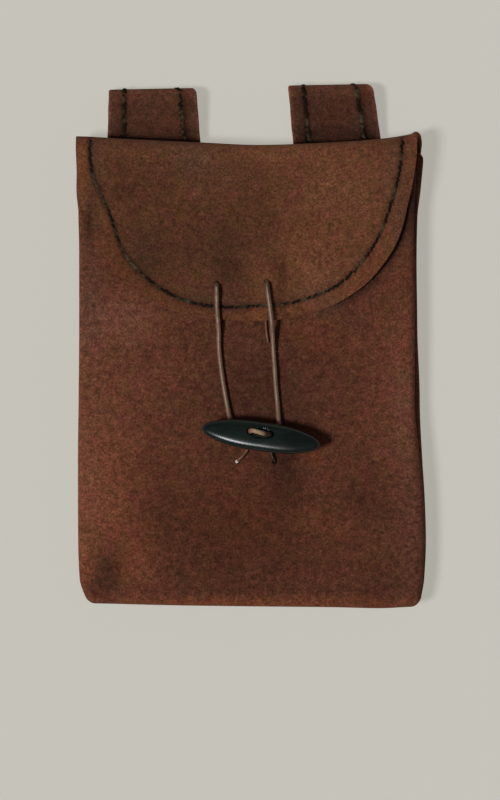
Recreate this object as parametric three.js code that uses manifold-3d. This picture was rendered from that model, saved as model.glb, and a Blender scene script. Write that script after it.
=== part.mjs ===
// A suede belt bag with a round flap, two belt loops and a toggle on a cord, lying flat on its back.
// Millimetres, +Z up out of the front of the bag, +Y towards its belt loops, resting on z = 0.
import * as THREE from "three";
import { mergeVertices } from "three/addons/utils/BufferGeometryUtils.js";
import Module from "manifold-3d";

const wasm = await Module();
wasm.setup();

// ---- driving dimensions ----
const leather = 1.8;
const half = leather / 2;
const gap = 0.3;

// Turned seams: each panel's edge rolls in through turnAngle on a middle radius of turnRadius.
const turnRadius = 2.2;
const turnAngle = THREE.MathUtils.degToRad(105);
const turnLength = turnRadius * turnAngle;
const panelWidth = 168;
const panelHeight = 214;
const cornerCut = 5;
const cornerRadius = cornerCut - turnLength + turnRadius + half;
const seamAllowance = 3.4;

// Over its top fold the back panel goes on as the flap.
const foldLength = 18;
const flapLength = 84;

// The bag from the front: its side edges, and how far the gusset shows past the right one.
const sides = [
  { y: -128, left: -79.0, right: 82.0, bulge: 0.6 },
  { y: -113, left: -83.2, right: 83.9, bulge: 0.8 },
  { y: -95, left: -83.9, right: 84.7, bulge: 0.8 },
  { y: -74, left: -84.0, right: 84.1, bulge: 0.8 },
  { y: -55, left: -84.0, right: 82.3, bulge: 1.4 },
  { y: -27, left: -83.7, right: 79.9, bulge: 2.6 },
  { y: 10, left: -83.4, right: 79.9, bulge: 1.4 },
  { y: 46, left: -83.4, right: 79.6, bulge: 1.3 },
  { y: 62, left: -83.7, right: 79.6, bulge: 1.6 },
  { y: 76, left: -83.8, right: 80.2, bulge: 2.6 },
  { y: 90, left: -83.8, right: 80.9, bulge: 3.2 },
  { y: 92, left: -83.8, right: 81.5, bulge: 2.3 },
  { y: 94, left: -83.8, right: 82.2, bulge: 0.2 },
];
const hiddenBulge = -0.9;
const bottomEdge = [
  { x: -84, y: -125.4 },
  { x: -38, y: -126.3 },
  { x: 0, y: -126.8 },
  { x: 40, y: -127.2 },
  { x: 63, y: -127.7 },
  { x: 84, y: -126.9 },
];
const foldEdge = [
  { x: -84.6, y: 101.8 },
  { x: -66, y: 100.9 },
  { x: -24, y: 98.8 },
  { x: 4, y: 97.6 },
  { x: 38, y: 98.8 },
  { x: 64, y: 100.7 },
  { x: 80.5, y: 103.6 },
  { x: 83.5, y: 100.8 },
];

// Heights of the middle of the leather: the front panel's side edges and crown, and the back panel.
const frontLevel = [
  { y: -128, edge: 13.2, crown: 0.5 },
  { y: -108, edge: 13.6, crown: 1.7 },
  { y: -60, edge: 13.6, crown: 2.8 },
  { y: 0, edge: 13.6, crown: 2.8 },
  { y: 50, edge: 14.2, crown: 2.0 },
  { y: 86, edge: 15.9, crown: 0.9 },
];
const crown = { halfWidth: 84, power: 2.5 };
const backLevel = [
  { y: 36, z: half },
  { y: 51, z: 5.2 },
  { y: 72, z: 5.4 },
  { y: 92, z: 7.6 },
];
const backTurn = [
  { y: 62, share: 1 },
  { y: 86, share: 0.05 },
];
const mouth = 86;
const gussetRoundness = 0.7;

// Soft dents (depth above 0) and swells (below 0) of the front panel.
const dents = [
  { x: -73, y: -113, depth: 1.7, wide: 8, tall: 13 },
  { x: -48, y: -119, depth: -0.7, wide: 14, tall: 6 },
  { x: 3, y: -66, depth: 1.0, wide: 22, tall: 14 },
  { x: 44, y: -84, depth: -0.8, wide: 18, tall: 24 },
  { x: -52, y: -30, depth: -0.7, wide: 16, tall: 30 },
  { x: -68, y: 4, depth: 0.6, wide: 9, tall: 16 },
  { x: 58, y: -20, depth: 0.7, wide: 12, tall: 26 },
];

// The flap is the lower part of a superellipse. It lifts where knots and the cord's tail lie under it,
// and along its lower right edge.
const flap = { x: -1.9, y: 100.5, halfWidth: 82.8, depth: 88.4, power: 2.4, start: 0.09, flatFrom: 6 };
const flapRest = leather + gap + 0.1;
const lifts = [
  { x: -16.3, y: 34.9, height: 3.7, wide: 6.5, tall: 6.5, skew: 0 },
  { x: 9.2, y: 35.6, height: 3.8, wide: 6.5, tall: 6.5, skew: 0 },
  { x: 9.1, y: 19, height: 3.0, wide: 5, tall: 17, skew: 0.14 },
  { x: 67, y: 44, height: 1.3, wide: 17, tall: 27, skew: -0.4 },
];

// Belt loops: a strap folded at the top, both of its ends sewn behind the back panel. Wear has rounded
// the fold's left and right corners.
const strap = { end: 54, sewnTo: 72, bend: 3.9, spring: 1.5, hangFrom: 98, tilt: 0.02 };
const loops = [
  { name: "belt_loop_left", x: -47.2, top: 125.5, width: 45.9, taper: 3.1, lean: -0.02, worn: [0.7, 2] },
  { name: "belt_loop_right", x: 42.4, top: 127.5, width: 43.4, taper: 1.9, lean: -0.12, worn: [0.5, 3] },
];

// Cords, with their routes along the middle of the cord. The closing cord runs from the knot behind
// the flap's left hole down round the toggle's own cord, and back up to the knot behind the right hole.
const cordRadius = 1.15;
const tailRadius = 0.65;
const cordFacets = 8;
const closingSteps = 72;
const toggleSteps = 50;
const tailSteps = 11;
const closingRoute = [
  [-16.3, 31.9, 18.8],
  [-16.3, 30.9, 19.3],
  [-16.3, 30.0, 20.8],
  [-16.3, 28.9, 22.2],
  [-16.3, 27.2, 22.3],
  [-16.3, 23.0, 21.2],
  [-16.1, 17.0, 20.9],
  [-15.7, 11.5, 20.8],
  [-15.4, 7.0, 19.7],
  [-15.3, 0.0, 18.8],
  [-14.6, -8.0, 18.8],
  [-12.9, -20.0, 18.8],
  [-10.9, -31.0, 18.9],
  [-9.9, -36.0, 19.8],
  [-9.2, -40.5, 20.9],
  [-7.8, -44.4, 21.2],
  [-4.8, -47.6, 21.2],
  [-0.9, -49.2, 21.2],
  [3.2, -49.7, 21.1],
  [7.4, -49.5, 21.1],
  [11.0, -47.9, 21.2],
  [13.1, -44.4, 21.2],
  [13.8, -40.0, 20.8],
  [13.6, -35.5, 19.8],
  [13.3, -31.0, 19.0],
  [12.5, -22.0, 18.8],
  [11.6, -9.0, 18.8],
  [11.1, -2.0, 18.9],
  [10.7, 5.0, 20.4],
  [10.3, 11.0, 22.5],
  [9.5, 18.0, 23.3],
  [8.5, 25.0, 23.7],
  [8.1, 28.4, 24.1],
  [8.1, 30.3, 23.6],
  [8.0, 31.3, 21.6],
  [7.9, 31.9, 19.7],
  [7.8, 32.5, 18.9],
];
const tailRoute = [
  [10.6, 34.6, 18.8],
  [11.0, 31.5, 18.5],
  [10.1, 27.0, 18.3],
  [8.5, 20.0, 18.25],
  [7.5, 13.5, 18.25],
  [7.7, 7.5, 18.25],
  [8.5, 1.5, 18.25],
];
// The toggle's cord goes in at one hole of the front panel and out of the other, ends knotted inside.
const toggleRoute = [
  [-1.0, -57.5, 13.2],
  [-3.6, -57.6, 13.3],
  [-5.9, -57.5, 14.1],
  [-6.6, -56.7, 15.7],
  [-6.0, -55.8, 17.6],
  [-4.6, -54.3, 18.4],
  [-3.0, -52.5, 18.5],
  [-1.8, -50.8, 18.5],
  [-1.2, -48.9, 18.6],
  [-1.0, -47.0, 19.4],
  [-0.8, -45.3, 21.2],
  [-0.5, -43.8, 23.2],
  [-0.3, -42.4, 26.0],
  [-0.2, -41.6, 28.6],
  [0.2, -41.3, 29.9],
  [1.6, -41.5, 30.7],
  [4.6, -42.0, 30.8],
  [7.7, -42.5, 30.7],
  [9.1, -42.8, 29.9],
  [9.5, -43.1, 28.6],
  [9.4, -43.7, 26.0],
  [9.4, -44.3, 23.2],
  [9.5, -44.9, 21.2],
  [9.6, -46.0, 19.6],
  [9.8, -48.2, 18.6],
  [10.0, -50.6, 18.5],
  [10.3, -52.8, 18.4],
  [10.9, -54.6, 18.3],
  [11.7, -55.9, 17.3],
  [11.9, -56.8, 15.6],
  [11.1, -57.5, 14.1],
  [9.2, -57.6, 13.3],
  [6.9, -57.5, 13.2],
];
const knots = [
  { name: "closing_cord_knot_left", at: [-16.3, 34.9, 18.95], size: [3.4, 2.6, 1.5] },
  { name: "closing_cord_knot_right", at: [9.7, 35.6, 18.95], size: [3.6, 2.4, 1.5] },
  { name: "toggle_cord_knot", at: [3.0, -57.5, 13.05], size: [3.6, 2.6, 1.6] },
];

// The toggle: a blunt leaf with a flat top, two holes and a shallow recess between them.
const toggle = { at: [5.1, -44, 27.0], turn: -8.3, roll: -11, length: 57.6 };
const toggleSection = { halfWidth: 7.1, above: 3.3, below: 4.1, blunt: 0.07 };
const toggleTaper = { wide: 0.75, thick: 0.5, power: 3 };
const toggleRounding = { across: 0.8, top: 0.6, bottom: 0.9 };
const toggleHoles = { middle: -0.7, apart: 9.8, across: 1.2, radius: 1.6 };
const recess = { length: 13, width: 6.4, depth: 1.2, bow: 3 };

const suedeBody = { color: 0x55352a, roughness: 0.95, metalness: 0 };
const suedeFlap = { color: 0x53341f, roughness: 0.95, metalness: 0 };
const suedeLoop = { color: 0x472c21, roughness: 0.95, metalness: 0 };
const lace = { color: 0x61503f, roughness: 0.75, metalness: 0 };
const horn = { color: 0x151b16, roughness: 0.25, metalness: 0 };

// ---- helpers ----
// A smooth value along a table, by its first column, that never swings past its rows.
function along(table, at, column) {
  const key = Object.keys(table[0])[0];
  const last = table.length - 1;
  if (at <= table[0][key]) {
    return table[0][column];
  }
  if (at >= table[last][key]) {
    return table[last][column];
  }
  const i = table.findIndex((row, k) => at <= table[k + 1][key]);
  const rise = (k) => {
    const inside = k >= 0 && k < last;
    return inside ? (table[k + 1][column] - table[k][column]) / (table[k + 1][key] - table[k][key]) : 0;
  };
  const slope = (a, b) => (a * b > 0 ? (2 * a * b) / (a + b) : 0);
  const width = table[i + 1][key] - table[i][key];
  const t = (at - table[i][key]) / width;
  const start = slope(rise(i - 1), rise(i)) * width * t * (1 - t) ** 2;
  const end = slope(rise(i), rise(i + 1)) * width * t * t * (t - 1);
  const ease = t * t * (3 - 2 * t);
  return mix(table[i][column], table[i + 1][column], ease) + start + end;
}

const mix = THREE.MathUtils.lerp;
const bell = (dx, dy, wide, tall) => Math.exp(-((dx / wide) ** 2) - (dy / tall) ** 2);

// A closed sheet of leather round the middle surface that middle(u, v) gives, on a grid of stops.
function sheet(across, up, middle) {
  const columns = across.length - 1;
  const rows = up.length - 1;
  const geometry = new THREE.BoxGeometry(2, 2, 2, columns, rows, 1);
  geometry.deleteAttribute("normal");
  geometry.deleteAttribute("uv");
  const place = geometry.getAttribute("position");
  const nudge = 0.02;
  for (let i = 0; i < place.count; i += 1) {
    const u = across[Math.round(((place.getX(i) + 1) / 2) * columns)];
    const v = up[Math.round(((place.getY(i) + 1) / 2) * rows)];
    const alongU = middle(u + nudge, v).sub(middle(u - nudge, v));
    const alongV = middle(u, v + nudge).sub(middle(u, v - nudge));
    const outward = alongU.cross(alongV).normalize();
    const point = middle(u, v).addScaledVector(outward, place.getZ(i) * half);
    place.setXYZ(i, point.x, point.y, point.z);
  }
  return geometry;
}

function solid(geometry) {
  const merged = mergeVertices(geometry, 1e-4);
  const mesh = new wasm.Mesh({
    numProp: 3,
    vertProperties: merged.getAttribute("position").array,
    triVerts: new Uint32Array(merged.index.array),
  });
  return new wasm.Manifold(mesh);
}

function surface(manifold) {
  const { vertProperties, triVerts } = manifold.getMesh();
  const geometry = new THREE.BufferGeometry();
  geometry.setAttribute("position", new THREE.BufferAttribute(vertProperties, 3));
  geometry.setIndex(new THREE.BufferAttribute(triVerts, 1));
  return geometry;
}

function piece(name, geometry, finish) {
  geometry.computeVertexNormals();
  const mesh = new THREE.Mesh(geometry, new THREE.MeshStandardMaterial(finish));
  mesh.name = name;
  return mesh;
}

// ---- heights ----
function frontHeight(x, y) {
  const share = 1 - Math.min(1, Math.abs(x / crown.halfWidth)) ** crown.power;
  const level = along(frontLevel, y, "edge") + along(frontLevel, y, "crown") * share;
  return dents.reduce((z, d) => z - d.depth * bell(x - d.x, y - d.y, d.wide, d.tall), level);
}

function backHeight(x, y) {
  return along(backLevel, y, "z");
}

function flapHeight(x, y) {
  const rest = frontHeight(x, y) + flapRest;
  const lift = (l) => l.height * bell(x - l.x - l.skew * (y - l.y), y - l.y, l.wide, l.tall);
  return lifts.reduce((z, l) => z + lift(l), rest);
}

// ---- panels ----
// A panel cut flat is panelWidth wide. A distance from its left side and one up from its bottom give
// a point of the finished panel, whose corners are round and whose edges roll up or down, by way.
function panelPoint(across, up, top, height, way, turnShare) {
  const onLeft = across < panelWidth / 2;
  const fromSide = onLeft ? across : panelWidth - across;
  const reach = new THREE.Vector2(Math.max(0, cornerCut - fromSide), Math.max(0, cornerCut - up));
  const a = reach.x / cornerCut;
  const b = reach.y / cornerCut;
  reach.x *= Math.sqrt(1 - (b * b) / 2);
  reach.y *= Math.sqrt(1 - (a * a) / 2);
  const past = reach.length() - (cornerCut - turnLength);
  const share = turnShare(up);
  let drop = 0;
  if (past > 0) {
    const bend = (share * past) / turnRadius;
    reach.setLength(cornerCut - turnLength + (turnRadius / share) * Math.sin(bend));
    drop = (turnRadius / share) * (1 - Math.cos(bend));
  }
  const bottom = along(bottomEdge, across - panelWidth / 2, "y") + cornerRadius;
  const rise = Math.max(0, up - cornerCut) / (panelHeight - cornerCut);
  const y = mix(bottom, top, rise) - reach.y;
  const left = along(sides, y, "left") + cornerRadius;
  const right = along(sides, y, "right") - cornerRadius;
  const inner = THREE.MathUtils.clamp((across - cornerCut) / (panelWidth - 2 * cornerCut), 0, 1);
  const x = mix(left, right, inner) + (onLeft ? -reach.x : reach.x);
  return new THREE.Vector3(x, y, height(x, y) + way * drop);
}

// How far a rolled edge reaches past the middle of its panel's leather.
function turnedDepth(share) {
  const bend = share * turnAngle;
  return (turnRadius / share) * (1 - Math.cos(bend)) + half * Math.abs(Math.cos(bend));
}

const frontPoint = (across, up) => panelPoint(across, up, mouth, frontHeight, -1, () => 1);

function flapPoint(side, down) {
  const v = mix(flap.start, 1, down);
  const reach = new THREE.Vector2(side * Math.sqrt(1 - (v * v) / 2), v * Math.sqrt(1 - (side * side) / 2));
  const turn = reach.angle();
  const power = flap.power;
  const square = (Math.abs(Math.cos(turn)) ** power + Math.sin(turn) ** power) ** (-1 / power);
  reach.multiplyScalar(mix(1, square, reach.lengthSq() ** 2));
  const x = flap.x + reach.x * flap.halfWidth;
  return new THREE.Vector2(x, flap.y - reach.y * flap.depth);
}

function foldCentre(x) {
  const edge = along(foldEdge, x, "y") - half;
  const low = backHeight(x, edge);
  const high = flapHeight(x, edge - flap.flatFrom);
  const radius = (high - low) / 2;
  return { y: edge - radius, z: low + radius, radius };
}

// The middle line is measured up from the bottom: panelHeight of back, foldLength round the fold,
// then flapLength down the front.
function backAndFlapPoint(across, up) {
  const side = (2 * across) / panelWidth - 1;
  const start = flapPoint(side, 0);
  const backPoint = (at, top) => {
    const share = (height) => along(backTurn, mix(bottomEdge[0].y, top, height / panelHeight), "share");
    return panelPoint(across, at, top, backHeight, 1, share);
  };
  const backEnd = backPoint(panelHeight, foldCentre(start.x).y);
  if (up <= panelHeight) {
    return backPoint(up, foldCentre(backEnd.x).y);
  }
  if (up <= panelHeight + foldLength) {
    const round = (up - panelHeight) / foldLength;
    const x = mix(backEnd.x, start.x, THREE.MathUtils.smoothstep(round, 0, 1));
    const fold = foldCentre(x);
    const y = fold.y + fold.radius * Math.sin(Math.PI * round);
    return new THREE.Vector3(x, y, fold.z - fold.radius * Math.cos(Math.PI * round));
  }
  const down = (up - panelHeight - foldLength) / flapLength;
  const { x, y: plain } = flapPoint(side, down);
  const y = plain + (foldCentre(start.x).y - start.y) * (1 - down) ** 3;
  return new THREE.Vector3(x, y, flapHeight(x, y));
}

// ---- gusset ----
// The gusset follows the panels' outline: down the left side, along the bottom, up the right side.
const gussetStops = [80, 70, 61, 52, 47, 42, 35, 8, -25, -58, -90, -112];
const gussetTops = { left: [86], right: [93.4, 91.5, 88] };
const gussetBottomStops = [-60, -40, 20];

function outline() {
  const lowLeft = along(bottomEdge, -panelWidth / 2, "y") + cornerRadius;
  const lowRight = along(bottomEdge, panelWidth / 2, "y") + cornerRadius;
  const leftX = along(sides, lowLeft, "left") + cornerRadius;
  const rightX = along(sides, lowRight, "right") - cornerRadius;
  const leftSide = [...gussetTops.left, ...gussetStops, lowLeft];
  const rightSide = [...gussetTops.right, ...gussetStops, lowRight].reverse();
  const corner = [0.25, 0.5, 0.75];
  const quarter = Math.PI / 2;
  const bulge = (y) => along(sides, y, "bulge");
  const lastBulge = (share) => mix(hiddenBulge, bulge(lowRight), share);
  return [
    ...leftSide.map((y) => ({ x: along(sides, y, "left"), y, angle: Math.PI, bulge: hiddenBulge })),
    ...corner.map((share) => cornerPlace("left", lowLeft, (2 + share) * quarter, hiddenBulge)),
    ...[leftX, ...gussetBottomStops, rightX].map((x) => bottomPlace(x)),
    ...corner.map((share) => cornerPlace("right", lowRight, (3 + share) * quarter, lastBulge(share))),
    ...rightSide.map((y) => ({ x: along(sides, y, "right"), y, angle: 2 * Math.PI, bulge: bulge(y) })),
  ];
}

function cornerPlace(side, low, angle, bulge) {
  const reach = new THREE.Vector2(cornerRadius, 0).rotateAround(new THREE.Vector2(), angle);
  const y = low + reach.y;
  const x = along(sides, y, side) - Math.sign(reach.x) * cornerRadius + reach.x;
  return { x, y, angle, bulge };
}

function bottomPlace(x) {
  return { x, y: along(bottomEdge, x, "y"), angle: Math.PI * 1.5, bulge: hiddenBulge };
}

const gussetPlaces = outline();

function gussetPoint(across, up) {
  const last = gussetPlaces.length - 1;
  const i = THREE.MathUtils.clamp(Math.floor(up), 0, last - 1);
  const t = up - i;
  const from = gussetPlaces[i];
  const to = gussetPlaces[i + 1];
  const angle = mix(from.angle, to.angle, t);
  const x = mix(from.x, to.x, t);
  const y = mix(from.y, to.y, t);
  const top = frontHeight(x, y) - turnedDepth(1) - gap - half;
  const bottom = backHeight(x, y) + turnedDepth(along(backTurn, y, "share")) + gap + half;
  const bend = (across * Math.PI) / 2;
  const bulge = mix(from.bulge, to.bulge, t) - half;
  const out = mix(-seamAllowance, bulge, Math.max(0, Math.cos(bend)) ** gussetRoundness);
  const z = mix(bottom, top, (1 + Math.sin(bend)) / 2);
  return new THREE.Vector3(x + out * Math.cos(angle), y + out * Math.sin(angle), z);
}

// ---- belt loops ----
// A strap's middle line, seen from the side: along the floor, round the top, back down to the bag.
function loopSheet({ x, top, width, taper, lean, worn }) {
  const roundAt = top - half - strap.bend;
  const floorRun = roundAt - strap.end;
  const round = Math.PI * strap.bend;
  const high = half + 2 * strap.bend;
  const sewn = half + leather + gap;
  const side = (at) => {
    if (at < floorRun) {
      return { y: strap.end + at, z: half };
    }
    if (at < floorRun + round) {
      const turn = (at - floorRun) / strap.bend;
      return { y: roundAt + strap.bend * Math.sin(turn), z: half + strap.bend * (1 - Math.cos(turn)) };
    }
    const y = roundAt - (at - floorRun - round);
    const fall = THREE.MathUtils.clamp((y - strap.sewnTo) / (roundAt - strap.sewnTo), 0, 1);
    return { y, z: mix(sewn, high, fall ** strap.spring) };
  };
  const middle = (across, at) => {
    const { y, z } = side(at);
    const past = y - strap.hangFrom;
    const radius = across < 0 ? worn[0] : worn[1];
    const near = Math.max(0, 1 - (top - half - y) / radius);
    const cut = radius * (1 - Math.sqrt(1 - near * near));
    const reach = across * ((width - (taper * past) / (top - strap.hangFrom)) / 2 - cut);
    return new THREE.Vector3(x + reach + lean * past, y + strap.tilt * reach, z);
  };
  const turns = Array.from({ length: 9 }, (_, i) => floorRun + (round * i) / 8);
  const down = [112, 104, 96, 86, strap.sewnTo, strap.end].map((y) => floorRun + round + roundAt - y);
  const floor = [strap.end, strap.sewnTo, strap.hangFrom].map((y) => y - strap.end);
  return sheet([-1, -0.34, 0.34, 1], [...floor, ...turns, ...down], middle);
}

// ---- cords, knots and toggle ----
function tube(route, radius, steps) {
  const path = new THREE.CatmullRomCurve3(route.map((point) => new THREE.Vector3(...point)));
  const corners = Array.from({ length: cordFacets }, (_, i) => (2 * Math.PI * i) / cordFacets);
  const ring = corners.map((turn) => new THREE.Vector2(Math.cos(turn), Math.sin(turn)));
  const section = new THREE.Shape(ring.map((point) => point.multiplyScalar(radius)));
  const geometry = new THREE.ExtrudeGeometry(section, { steps, extrudePath: path, bevelEnabled: false });
  geometry.deleteAttribute("normal");
  geometry.deleteAttribute("uv");
  return geometry;
}

function knotSolid({ at, size }) {
  const geometry = new THREE.SphereGeometry(1, 14, 8);
  geometry.deleteAttribute("normal");
  geometry.deleteAttribute("uv");
  geometry.scale(size[0], size[1], size[2]);
  geometry.translate(at[0], at[1], at[2]);
  return solid(geometry);
}

function toggleSolid() {
  const { halfWidth, above, below, blunt } = toggleSection;
  const round = (s) => Math.sqrt(1 - Math.max(0, (Math.abs(s) - 1 + blunt) / blunt) ** 2);
  const places = [-1, -0.99, -0.96, -0.93, -0.8, -0.6, -0.35, 0, 0.35, 0.6, 0.8, 0.93, 0.96, 0.99, 1];
  const profile = places.map((s) => new THREE.Vector2(Math.abs(s) === 1 ? 0 : 1, s));
  const geometry = new THREE.LatheGeometry(profile, 20);
  geometry.deleteAttribute("normal");
  geometry.deleteAttribute("uv");
  const place = geometry.getAttribute("position");
  for (let i = 0; i < place.count; i += 1) {
    const s = place.getY(i);
    const across = place.getX(i);
    const up = place.getZ(i);
    const taper = Math.abs(s) ** toggleTaper.power;
    const wide = halfWidth * (1 - toggleTaper.wide * taper) * round(s);
    const thick = (up > 0 ? above : below) * (1 - toggleTaper.thick * taper) * round(s);
    const y = -Math.sign(across) * Math.abs(across) ** toggleRounding.across * wide;
    const z = Math.sign(up) * Math.abs(up) ** (up > 0 ? toggleRounding.top : toggleRounding.bottom) * thick;
    place.setXYZ(i, (s * toggle.length) / 2, y, z);
  }
  return solid(geometry);
}

const togglePose = new THREE.Euler(
  THREE.MathUtils.degToRad(toggle.roll),
  0,
  THREE.MathUtils.degToRad(toggle.turn),
  "ZYX",
);

// A solid of the bag as it lies in the toggle's own frame.
function inToggleFrame(manifold) {
  const matrix = new THREE.Matrix4().makeRotationFromEuler(togglePose).setPosition(...toggle.at);
  return manifold.transform(matrix.invert().toArray());
}

function toggleGeometry(cordCut) {
  const hollow = new THREE.SphereGeometry(1, 20, 12);
  hollow.deleteAttribute("normal");
  hollow.deleteAttribute("uv");
  hollow.scale(recess.length / 2, recess.width / 2, recess.bow);
  hollow.translate(toggleHoles.middle, toggleHoles.across, toggleSection.above + recess.bow - recess.depth);
  const bores = [-1, 1].map((side) => {
    const bore = new THREE.CylinderGeometry(toggleHoles.radius, toggleHoles.radius, 20, 14);
    bore.deleteAttribute("normal");
    bore.deleteAttribute("uv");
    bore.rotateX(Math.PI / 2);
    bore.translate(toggleHoles.middle + (side * toggleHoles.apart) / 2, toggleHoles.across, 0);
    return solid(bore);
  });
  const cut = [solid(hollow), ...bores, inToggleFrame(cordCut)];
  return surface(cut.reduce((body, tool) => body.subtract(tool), toggleSolid()));
}

// ---- the bag ----
const closingCut = solid(tube(closingRoute, cordRadius + gap, closingSteps));
const toggleCut = solid(tube(toggleRoute, cordRadius + gap, toggleSteps));

// The sheets' stops are closest round the knots, the folds and the turned edges.
const turnedStops = [0, 0.33, 0.66, 1, 2].map((share) => share * turnLength);
const turnedBack = turnedStops.map((inset) => panelWidth - inset).reverse();
const knotStops = [58, 62.5, 66.5, 70.5, 75, 81, 87, 92, 96.5, 101, 107];
const foldStops = [1, 2, 3, 4, 5, 6, 7].map((step) => (foldLength * step) / 7);
const flapStops = [10, 21, 32, 42, 48, 52.5, 57, 61.5, 66, 72, 78, flapLength];
const backAndFlap = sheet(
  [...turnedStops, 20, 34, 47, ...knotStops, 117, 132, 148, ...turnedBack],
  [
    ...[...turnedStops, 25, 60, 105, 152, 160, 165, 170, 175, 181, 190, 198, 206, panelHeight],
    ...foldStops.map((at) => panelHeight + at),
    ...flapStops.map((at) => panelHeight + foldLength + at),
  ],
  backAndFlapPoint,
);
const frontPanel = sheet(
  [...turnedStops, 16, 28, 41, 55, 69, 84, 99, 113, 127, 140, 152, ...turnedBack],
  [...turnedStops, 16, 28, 42, 58, 74, 92, 112, 132, 150, 166, 182, 198, panelHeight],
  frontPoint,
);
const gusset = sheet(
  [-1, -0.75, -0.5, -0.25, 0, 0.25, 0.5, 0.75, 1],
  gussetPlaces.map((_, i) => i),
  gussetPoint,
);

const group = new THREE.Group();
group.add(piece("back_and_flap", surface(solid(backAndFlap).subtract(closingCut)), suedeFlap));
group.add(piece("front_panel", surface(solid(frontPanel).subtract(toggleCut)), suedeBody));
group.add(piece("side_gusset", gusset, suedeBody));
loops.forEach((loop) => group.add(piece(loop.name, loopSheet(loop), suedeLoop)));

const toggleMesh = piece("toggle", toggleGeometry(toggleCut), horn);
toggleMesh.position.set(...toggle.at);
toggleMesh.rotation.copy(togglePose);
group.add(toggleMesh);

group.add(piece("closing_cord", tube(closingRoute, cordRadius, closingSteps), lace));
group.add(piece("toggle_cord", tube(toggleRoute, cordRadius, toggleSteps), lace));
const tail = solid(tube(tailRoute, tailRadius, tailSteps));
const [leftKnot, rightKnot, insideKnot] = knots.map(knotSolid);
group.add(piece(knots[0].name, surface(leftKnot), lace));
group.add(piece(knots[1].name, surface(rightKnot.add(tail)), lace));
group.add(piece(knots[2].name, surface(insideKnot), lace));

export default group;
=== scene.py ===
from functools import lru_cache
from math import atan2, cos, degrees, exp, hypot, pi, radians, sin, sqrt

import bmesh
import bpy
from mathutils import Euler, Matrix, Vector, noise


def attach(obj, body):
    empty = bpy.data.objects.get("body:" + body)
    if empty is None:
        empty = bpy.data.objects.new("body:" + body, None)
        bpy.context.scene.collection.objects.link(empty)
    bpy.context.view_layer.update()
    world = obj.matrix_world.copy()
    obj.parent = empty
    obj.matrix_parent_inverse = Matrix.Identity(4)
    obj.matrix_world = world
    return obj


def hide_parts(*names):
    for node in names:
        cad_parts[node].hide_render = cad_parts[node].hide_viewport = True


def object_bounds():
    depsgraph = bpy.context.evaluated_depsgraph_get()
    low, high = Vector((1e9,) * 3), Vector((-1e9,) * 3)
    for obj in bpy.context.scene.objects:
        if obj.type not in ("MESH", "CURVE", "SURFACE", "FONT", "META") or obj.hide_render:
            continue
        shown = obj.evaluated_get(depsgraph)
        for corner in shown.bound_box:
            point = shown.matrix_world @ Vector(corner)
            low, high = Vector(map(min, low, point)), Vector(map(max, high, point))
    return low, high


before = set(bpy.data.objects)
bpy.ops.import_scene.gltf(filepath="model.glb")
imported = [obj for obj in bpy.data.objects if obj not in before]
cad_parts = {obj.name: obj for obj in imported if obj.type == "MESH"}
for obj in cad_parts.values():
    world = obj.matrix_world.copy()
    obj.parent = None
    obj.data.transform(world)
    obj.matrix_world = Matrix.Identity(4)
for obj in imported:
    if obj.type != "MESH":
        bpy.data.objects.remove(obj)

# A suede belt bag lying on its back. Metres, +Z up out of its front, +Y towards its belt loops.
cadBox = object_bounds()
scene = bpy.context.scene
print("frame loaded:", len(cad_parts), "nodes")


# Tables, curves and soft noise.
def rows(names, *values):
    return [dict(zip(names.split(), row)) for row in values]


def mix(low, high, share):
    return low + (high - low) * share


def smooth(share):
    share = min(1.0, max(0.0, share))
    return share * share * (3 - 2 * share)


def bell(dx, dy, wide, tall):
    return exp(-((dx / wide) ** 2) - (dy / tall) ** 2)


def along(table, at, column):  # a smooth value along a table that never swings past its rows
    key = next(iter(table[0]))
    last = len(table) - 1
    if at <= table[0][key]:
        return table[0][column]
    if at >= table[last][key]:
        return table[last][column]
    i = next(k for k in range(last) if at <= table[k + 1][key])

    def rise(k):
        if not 0 <= k < last:
            return 0
        return (table[k + 1][column] - table[k][column]) / (table[k + 1][key] - table[k][key])

    def slope(before, after):
        return 2 * before * after / (before + after) if before * after > 0 else 0

    width = table[i + 1][key] - table[i][key]
    t = (at - table[i][key]) / width
    start = slope(rise(i - 1), rise(i)) * width * t * (1 - t) ** 2
    end = slope(rise(i), rise(i + 1)) * width * t * t * (t - 1)
    return mix(table[i][column], table[i + 1][column], t * t * (3 - 2 * t)) + start + end


def stops(start, end, step):  # even stops from start to end, about a step apart
    count = max(1, round(abs(end - start) / step))
    return [mix(start, end, i / count) for i in range(count + 1)]


def wave(x, y, hills):  # soft noise from -1 to 1, whose hills have a size and a seed
    size, seed = hills
    return noise.noise(Vector((x / size, y / size, seed)))


def addObject(name, data):
    added = bpy.data.objects.new(name, data)
    scene.collection.objects.link(added)
    return added


# The camera looks straight down.
cameraView = {
    "height": 2.0,  # above the plane
    "plane": 0.014,
    "lens": 185.3,
    "sensor": 36,
    "reach": 20,
    "below": 0.0265,
    "left": 0.0005,
}


def makeCamera():
    middle = (cadBox[0] + cadBox[1]) / 2
    data = bpy.data.cameras.new("camera")
    data.lens = cameraView["lens"]
    data.sensor_width = cameraView["sensor"]
    data.clip_end = cameraView["reach"]
    camera = addObject("camera", data)
    high = cameraView["plane"] + cameraView["height"]
    camera.location = (middle.x - cameraView["left"], middle.y - cameraView["below"], high)
    scene.camera = camera


makeCamera()
print("camera placed")


# Materials. Each function that adds a node gives back the node's output.
def makeMaterial(name, sockets):
    material = bpy.data.materials.new(name)
    material.use_nodes = True
    tree = material.node_tree
    shader = tree.nodes["Principled BSDF"]
    for socket, value in sockets.items():
        shader.inputs[socket].default_value = value
    return material, tree, shader


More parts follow.
